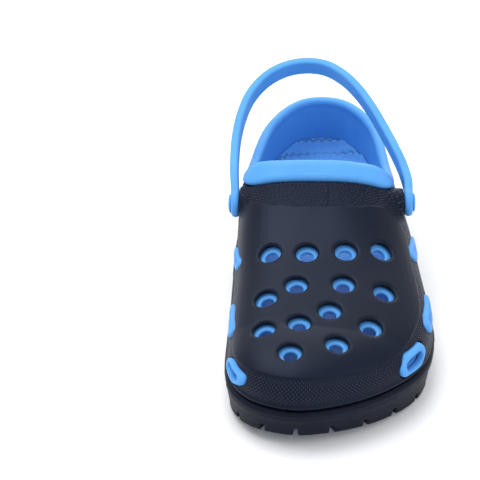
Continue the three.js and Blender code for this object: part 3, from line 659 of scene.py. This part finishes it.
def middle_lugs():
    """Plan distance to the ribbed bars and the row of middle blocks, and how deep they are cut."""
    lug, cut = np.full(SX.shape, 1e3), np.zeros(SX.shape)
    for y in BAR_ROWS:
        for first, last, shift, slant in BAR_ENDS:
            middle = (y + shift) * KY + (SX - first) * slant
            ends = np.abs(SX - (first + last) / 2) - (last - first) / 2
            bar = np.maximum(ends, np.abs(SY - middle) - BAR_HALF)
            lug = np.minimum(lug, bar)
            ribs = 0.4 + 0.4 * np.cos((SX - first) * 2 * math.pi / BAR_RIB_PITCH)
            cut = cut + np.where(bar < 0, ribs, 0)
    for x, y in SPINE_BLOCKS:
        block = np.maximum(np.abs(SX - x) - SPINE_HALF[0], np.abs(SY - y * KY) - SPINE_HALF[1])
        lug = np.minimum(lug, block)
        cut = np.maximum(cut, np.where(block < 0, 0.8 * cross_cut(SX - x, SY - y * KY, 3.2), 0))
    return lug, cut


def pad_distance(corners):
    return polygon_distance(SX, SY, centripetal(np.array(corners, float) * [1, KY], True, 4))[0]


def make_outsole():
    e, z = E2[:, :, None], sole.z
    inset, low, top = INSET2[:, :, None], TREAD2[:, :, None], GROOVE2[:, :, None]
    rise = np.clip((z - low - 6) / (top - 3 - low - 6), 0, 1)
    side = inset * (1 - smoothstep(0, 1, rise)) + 0.7 * smoothstep(-3, 0, z - top)
    lips = 0.55 * np.exp(-((z - top + 2.2) / 0.8) ** 2) + 0.45 * np.exp(-((z - top + 5.2) / 0.7) ** 2)
    body = smax(e + side - lips, z - top, 1.6)
    body = smax(body, low + LUG_DEPTH - z, 1.6)
    ring, ring_cut = edge_lugs()
    middle, middle_cut = middle_lugs()
    lug = np.minimum(ring, middle)
    lugs = smax(lug[:, :, None], low + (ring_cut + middle_cut)[:, :, None] - z, 1.0)
    lugs = np.maximum(lugs, z - low - LUG_DEPTH - 2)
    body = smin(body, lugs, 0.6)
    seat = np.maximum(e + SHELL_IN + SHELL_WALL, top - SOLE_DROP - z)
    body = smax(body, -seat, 0.8)
    for corners in PADS.values():
        pocket = np.maximum(pad_distance(corners)[:, :, None] - GAP, z - low - LUG_DEPTH - PAD_SEAT)
        body = smax(body, -pocket, 0.5)
    return body.astype(np.float32)


def make_pad(corners):
    pad = pad_distance(corners)
    c, s = math.cos(QUILT_TURN), math.sin(QUILT_TURN)
    p, q = (SX * c + SY * s) / QUILT_CELL, (SY * c - SX * s) / QUILT_CELL
    seam = np.minimum(np.abs(p - np.round(p)), np.abs(q - np.round(q))) * QUILT_CELL
    seam = np.minimum(seam, np.maximum(-pad - 0.6, 0))
    quilt = QUILT_DEPTH * (1 - smoothstep(0, 1.8, seam))
    low, z = TREAD2[:, :, None], sole.z
    body = smax(pad[:, :, None], low + PAD_SINK + quilt[:, :, None] - z, 0.6)
    return smax(body, z - low - LUG_DEPTH - PAD_SEAT + GAP, 0.5).astype(np.float32)


# ---------------------------------------------------------------- the strap and its rivets
BACK = np.array([0.0, 1.0, 0.0])
UP = np.cross(HINGE, BACK)
MIDDLE = (PIVOTS["medial"][0] + PIVOTS["lateral"][0]) / 2
STRAP_AXES = np.stack([HINGE, math.cos(STRAP_RISE) * BACK + math.sin(STRAP_RISE) * UP,
                       math.cos(STRAP_RISE) * UP - math.sin(STRAP_RISE) * BACK], 1)
HALF_SPAN = np.linalg.norm(PIVOT_SPAN) / 2


def make_strap():
    """The strap lying flat: u along the hinge, v away from it, w across its width."""
    f = Field((-60, -13, -10.5), (60, 119, 10.5), 0.45)
    u, v = np.meshgrid(f.ax[0], f.ax[1], indexing="ij")
    path = centripetal(np.array(STRAP_PATH, float) * [1, STRAP_REACH], False, 8)
    off, share = path_distance(u, v, path)
    widths = np.array(STRAP_WIDTHS, float)
    half = (np.interp(share, widths[:, 0], widths[:, 1]) / 2)[:, :, None]
    w = f.z
    a = np.abs(off)[:, :, None] - STRAP_THICK / 2 + STRAP_EDGE_RADIUS
    b = np.abs(w) - half + STRAP_EDGE_RADIUS
    body = np.hypot(np.maximum(a, 0), np.maximum(b, 0)) + np.minimum(np.maximum(a, b), 0) - STRAP_EDGE_RADIUS
    fine_line = np.hypot(off[:, :, None] - STRAP_THICK / 2 - 0.25, np.abs(w) - half + 2.3) - 0.75
    body = smax(body, -fine_line, 0.5)
    across = np.hypot(v[:, :, None], w)
    for side in (-1, 1):
        slab = np.abs(side * u[:, :, None] - HALF_SPAN - STRAP_THICK / 2) - STRAP_THICK / 2
        body = smin(body, smax(across - HUB_RADIUS, slab, 2.6), 0.8)
    body = smax(body, -(across - PIN_HOLE_RADIUS), 0.4)
    return f, body.astype(np.float32)


def turned(name, at, out, profile):
    """A piece turned about the pivot's outward line from [radius, distance out] pairs."""
    a = np.cross(out, [0, 1, 0])
    a /= np.linalg.norm(a)
    b = np.cross(out, a)
    sides = 72
    ang = np.arange(sides) / sides * 2 * math.pi
    rings = np.array([at + out * d + r * (np.cos(ang)[:, None] * a + np.sin(ang)[:, None] * b)
                      for r, d in profile])
    pts = np.vstack([rings.reshape(-1, 3), [at + out * profile[0][1], at + out * profile[-1][1]]])
    ids = np.arange(len(profile) * sides).reshape(len(profile), sides)
    far = np.roll(ids, -1, 1)
    quads = np.stack([ids[:-1], ids[1:], far[1:], far[:-1]], -1).reshape(-1, 4)
    n = len(profile) * sides
    tris = np.vstack([np.stack([ids[0], far[0], np.full(sides, n)], 1),
                      np.stack([far[-1], ids[-1], np.full(sides, n + 1)], 1)])
    return build(name, pts, tris, quads)


def arc(middle_r, middle_d, radius, first, last, count):
    turns = np.radians(np.linspace(first, last, count))
    return [(middle_r + radius * math.cos(turn), middle_d + radius * math.sin(turn)) for turn in turns]


def rivet_profile():
    """Pin and low dished head, from the pin's inner end outwards."""
    under = STRAP_THICK + GAP
    return ([(0.01, -16), (1.9, -16), (2.5, -15.4), (2.5, under - 0.2), (5.0, under - 0.2)]
            + arc(5.0, under + 0.25, 0.45, -90, 40, 6)
            + [(4.5, under + 0.95), (3.4, under + 1.2), (2.6, under + 1.25), (2.2, under + 0.9),
               (1.7, under + 0.85), (1.2, under + 1.05), (0.01, under + 1.15)])


def cap_profile():
    """Washer on the inside of the liner's boss, from its inner face round to its outer one."""
    face = -LINER_BOSS_DEPTH - GAP
    washer = ([(2.6, face), (5.2, face), (5.5, face - 0.3)] + arc(4.9, face - 1.0, 0.6, 0, -90, 5)
              + [(3.9, face - 1.6), (3.6, face - 1.3), (3.2, face - 1.3), (2.9, face - 1.6),
                 (2.6, face - 1.5)])
    return washer[::-1]


# ---------------------------------------------------------------- materials
def linear(r, g, b):
    return tuple((v / 255 / 12.92) if v <= 10 else ((v / 255 + 0.055) / 1.055) ** 2.4 for v in (r, g, b))


# painted highlight: the raised dots are lightened towards this colour, in place of the light they catch
DOT_HIGHLIGHT_TONE = linear(74, 82, 104)


def foam(name, color, deep, rough, knurl=0.0, groove_shade=0.0, tint=(1, 1, 1), shine=0.2):
    """Closed-cell foam: a satin skin with fine grain, and, where the part has them, dots lightened as a
    painted highlight and grooves darkened as painted shade.
    """
    mat = bpy.data.materials.new(name)
    mat.use_nodes = True
    nt = mat.node_tree
    bsdf = nt.nodes["Principled BSDF"]

    def calc(op, a, b=None):
        n = nt.nodes.new("ShaderNodeMath")
        n.operation = op
        for i, value in enumerate((a, b)):
            if value is None:
                continue
            if isinstance(value, (int, float)):
                n.inputs[i].default_value = value
            else:
                nt.links.new(value, n.inputs[i])
        return n.outputs[0]

    coord = nt.nodes.new("ShaderNodeTexCoord").outputs["Object"]

    def noise(scale, detail, roughness):
        n = nt.nodes.new("ShaderNodeTexNoise")
        n.inputs["Scale"].default_value = scale
        n.inputs["Detail"].default_value = detail
        n.inputs["Roughness"].default_value = roughness
        nt.links.new(coord, n.inputs["Vector"])
        return n.outputs["Fac"]
    cloud, grain = noise(45, 4, 0.55), noise(1500, 3, 0.6)
    mix = nt.nodes.new("ShaderNodeMix")
    mix.data_type = "RGBA"
    mix.inputs[6].default_value = (*deep, 1)
    mix.inputs[7].default_value = (*color, 1)
    spread = nt.nodes.new("ShaderNodeMapRange")
    spread.inputs["From Min"].default_value = 0.3
    spread.inputs["From Max"].default_value = 0.7
    nt.links.new(cloud, spread.inputs["Value"])
    nt.links.new(spread.outputs[0], mix.inputs[0])
    tone = mix.outputs[2]

    def attribute(label):
        n = nt.nodes.new("ShaderNodeAttribute")
        n.attribute_name = label
        return n.outputs["Fac"]

    def shade(base, amount, toward):
        n = nt.nodes.new("ShaderNodeMix")
        n.data_type = "RGBA"
        n.inputs[7].default_value = (*toward, 1)
        nt.links.new(amount, n.inputs[0])
        nt.links.new(base, n.inputs[6])
        return n.outputs[2]
    rough_map = nt.nodes.new("ShaderNodeMapRange")
    rough_map.inputs["To Min"].default_value = rough - 0.06
    rough_map.inputs["To Max"].default_value = rough + 0.08
    nt.links.new(grain, rough_map.inputs["Value"])
    height = calc("MULTIPLY", grain, 0.00006)
    if knurl:
        turn = 2 * math.pi / DOT_PERIOD
        su = calc("SINE", calc("MULTIPLY", attribute("arc_u"), turn))
        sv = calc("SINE", calc("MULTIPLY", attribute("arc_v"), turn))
        dots = calc("MAXIMUM", calc("MULTIPLY", su, sv), 0.0)
        dots = calc("MULTIPLY", dots, attribute("knurled"))
        height = calc("ADD", height, calc("MULTIPLY", dots, knurl / 1000))
        rough_out = calc("ADD", rough_map.outputs[0], calc("MULTIPLY", attribute("knurled"), 0.06))
        nt.links.new(rough_out, bsdf.inputs["Roughness"])
        # painted highlight: the dots' colour is mixed 0.68 of the way towards the lighter navy
        tone = shade(tone, calc("MULTIPLY", dots, 0.68), DOT_HIGHLIGHT_TONE)
    else:
        nt.links.new(rough_map.outputs[0], bsdf.inputs["Roughness"])
    if groove_shade:
        # painted shade: the heel's grooves are darkened towards a third of the base colour
        tone = shade(tone, calc("MULTIPLY", attribute("groove_shade"), groove_shade), tuple(v * 0.35 for v in color))
    nt.links.new(tone, bsdf.inputs["Base Color"])
    bump = nt.nodes.new("ShaderNodeBump")
    bump.inputs["Strength"].default_value = 1.0
    bump.inputs["Distance"].default_value = 1.0
    nt.links.new(height, bump.inputs["Height"])
    nt.links.new(bump.outputs[0], bsdf.inputs["Normal"])
    bsdf.inputs["Specular IOR Level"].default_value = shine
    bsdf.inputs["Specular Tint"].default_value = (*tint, 1)
    return mat


NAVY_SHELL = foam("navy_foam_upper", linear(13, 18, 32), linear(9, 13, 26), 0.40, knurl=1.3,
                  tint=(0.56, 0.7, 1.0), shine=0.22)
NAVY_SOLE = foam("navy_foam_sole", linear(12, 15, 27), linear(9, 12, 23), 0.52,
                 tint=(0.56, 0.7, 1.0), shine=0.2)
BLUE_TRIM = foam("blue_foam_trim", linear(88, 160, 228), linear(80, 152, 222), 0.46)
# this footbed material darkens its heel grooves as painted shade
BLUE_BED = foam("blue_foam_footbed", linear(92, 158, 224), linear(84, 150, 218), 0.52, groove_shade=0.75)


# ---------------------------------------------------------------- where the moulded dots run
DOTS_CROSS_Y = -25  # behind this the medial side counts on from the lateral one, so rows cross the crest


def paint_dots(ob):
    """Stores how far each point lies round the shoe and up its side, and whether it is dotted."""
    run = np.r_[0, np.cumsum(np.linalg.norm(np.diff(np.vstack([FOOT, FOOT[:1]]), axis=0), axis=1))]
    climb = np.linalg.norm(np.diff(DOME, axis=0), axis=2)
    climb = np.vstack([np.zeros((1, RING_POINTS)), np.cumsum(climb, axis=0)])
    every = 2
    tree_rows = DOME[:, ::every]
    n = tree_rows.shape[1]
    ids = np.arange(tree_rows.shape[0] * n).reshape(-1, n)
    far = np.roll(ids, -1, 1)
    faces = np.stack([ids[:-1], far[:-1], far[1:], ids[1:]], -1).reshape(-1, 4)
    flat = tree_rows.reshape(-1, 3)
    tree = BVHTree.FromPolygons([tuple(p) for p in flat], [tuple(f) for f in faces.tolist()])
    co = shoe_mm(ob)
    au, av = np.zeros(len(co), np.float32), np.zeros(len(co), np.float32)
    for i, p in enumerate(co.tolist()):
        hit, _, face, _ = tree.find_nearest(p)
        level, col = divmod(face, n)
        a, b, d = tree_rows[level, col], tree_rows[level, (col + 1) % n], tree_rows[level + 1, col]
        ab, ad = b - a, d - a
        q = np.array(hit) - a
        u = min(max(q @ ab / max(ab @ ab, 1e-9), 0), 1)
        v = min(max(q @ ad / max(ad @ ad, 1e-9), 0), 1)
        k0, k1 = col * every, (col + 1) * every
        au[i] = run[k0] * (1 - u) + run[min(k1, RING_POINTS)] * u
        near = climb[level, k0] * (1 - v) + climb[level + 1, k0] * v
        beyond = climb[level, k1 % RING_POINTS] * (1 - v) + climb[level + 1, k1 % RING_POINTS] * v
        av[i] = near * (1 - u) + beyond * u
        if k0 >= RING_POINTS // 2 and p[1] > DOTS_CROSS_Y:
            au[i] = run[-1] - au[i]
            av[i] = climb[-1, k0] + climb[-1, RING_POINTS - k0] - av[i]
    edge = panel_distance(co[:, 0], co[:, 1], co[:, 2])
    knurled = smoothstep(0.3, 1.0, edge) * smoothstep(1.2, 2.2, co[:, 2] - groove(co[:, 1]) - BEAD_RISE)
    for label, values in (("arc_u", au), ("arc_v", av), ("knurled", knurled)):
        store(ob, label, values)


# ---------------------------------------------------------------- every piece, put in place of its CAD node
def finish_piece(ob, node, mat, body="clog"):
    ob.data.materials.append(mat)
    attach(ob, body)
    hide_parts(node)


shell = upper.mesh("visual_upper_shell", make_shell())
paint_dots(shell)
finish_piece(shell, "upper_shell", NAVY_SHELL)
finish_piece(sole.mesh("visual_outsole", make_outsole(), 0.05), "outsole", NAVY_SOLE)
finish_piece(upper.mesh("visual_inner_liner", make_liner()), "inner_liner", BLUE_TRIM)
bed_field, bed_body = make_footbed()
footbed = bed_field.mesh("visual_footbed", bed_body, 0.04)
paint_arcs(footbed)
finish_piece(footbed, "footbed", BLUE_BED)
for vent_name, vent in VENTS.items():
    finish_piece(upper.mesh("visual_" + vent_name, make_vent(vent)), vent_name, BLUE_TRIM)
for pad_name, corners in PADS.items():
    finish_piece(sole.mesh("visual_" + pad_name, make_pad(corners), 0.05), pad_name, BLUE_TRIM)

strap_field, strap_body = make_strap()
strap = strap_field.mesh("visual_heel_strap", strap_body)
standing = (MIDDLE + shoe_mm(strap) @ STRAP_AXES.T + [ORIGIN_X, 0, 0]) / 1000
strap.data.vertices.foreach_set("co", standing.ravel().astype(np.float32))
strap.data.update()
finish_piece(strap, "heel_strap", BLUE_TRIM, body="strap")

for side_name, (pivot, side) in PIVOTS.items():
    for piece_name, profile in (("strap_rivet_", rivet_profile()), ("rivet_cap_", cap_profile())):
        node_name = piece_name + side_name
        turned_piece = turned("visual_" + node_name, pivot, HINGE * side, profile)
        finish_piece(turned_piece, node_name, BLUE_TRIM)


# ---------------------------------------------------------------- floor, light and camera
# Name, place in metres, size in metres and power in watts
LIGHTS = (
    ("key", (-0.35, 0.15, 1.1), 0.9, 9),
    ("fill", (0.9, -0.7, 0.8), 1.0, 3),
    ("rear", (0.1, 1.2, 0.6), 0.8, 4),
)
CAMERA_TARGET, CAMERA_DISTANCE = Vector((-0.05355, 0.0283, 0.020)), 1.1
CAMERA_AZIMUTH, CAMERA_ELEVATION = math.radians(3), math.radians(33)


def studio():
    """White floor, soft lights and a pale sky, in metres."""
    me = bpy.data.meshes.new("floor")
    me.from_pydata([(-4, -4, 0), (4, -4, 0), (4, 4, 0), (-4, 4, 0)], [], [(0, 1, 2, 3)])
    floor = bpy.data.objects.new("floor", me)
    bpy.context.scene.collection.objects.link(floor)
    mat = bpy.data.materials.new("floor")
    mat.use_nodes = True
    bsdf = mat.node_tree.nodes["Principled BSDF"]
    bsdf.inputs["Base Color"].default_value = (0.95, 0.95, 0.95, 1)
    bsdf.inputs["Roughness"].default_value = 0.6
    me.materials.append(mat)
    out = [floor]
    for name, at, size, power in LIGHTS:
        light = bpy.data.lights.new(name, "AREA")
        light.size = size
        light.energy = power
        ob = bpy.data.objects.new(name, light)
        ob.location = at
        aim = Vector((0, 0, 0.03)) - Vector(at)
        ob.rotation_euler = aim.to_track_quat("-Z", "Y").to_euler()
        bpy.context.scene.collection.objects.link(ob)
        out.append(ob)
    world = bpy.data.worlds.new("studio")
    world.use_nodes = True
    world.node_tree.nodes["Background"].inputs["Color"].default_value = (0.93, 0.95, 1.0, 1)
    world.node_tree.nodes["Background"].inputs["Strength"].default_value = 0.88
    bpy.context.scene.world = world
    return out


studio()

camera_data = bpy.data.cameras.new("camera")
camera_data.lens = 135.75
camera_data.sensor_width = 36
camera = bpy.data.objects.new("camera", camera_data)
bpy.context.scene.collection.objects.link(camera)
outward = Vector((math.sin(CAMERA_AZIMUTH) * math.cos(CAMERA_ELEVATION),
                  -math.cos(CAMERA_AZIMUTH) * math.cos(CAMERA_ELEVATION), math.sin(CAMERA_ELEVATION)))
camera.location = CAMERA_TARGET + outward * CAMERA_DISTANCE
camera.rotation_euler = outward.to_track_quat("Z", "Y").to_euler()
bpy.context.scene.camera = camera
bpy.context.scene.view_settings.view_transform = "Standard"
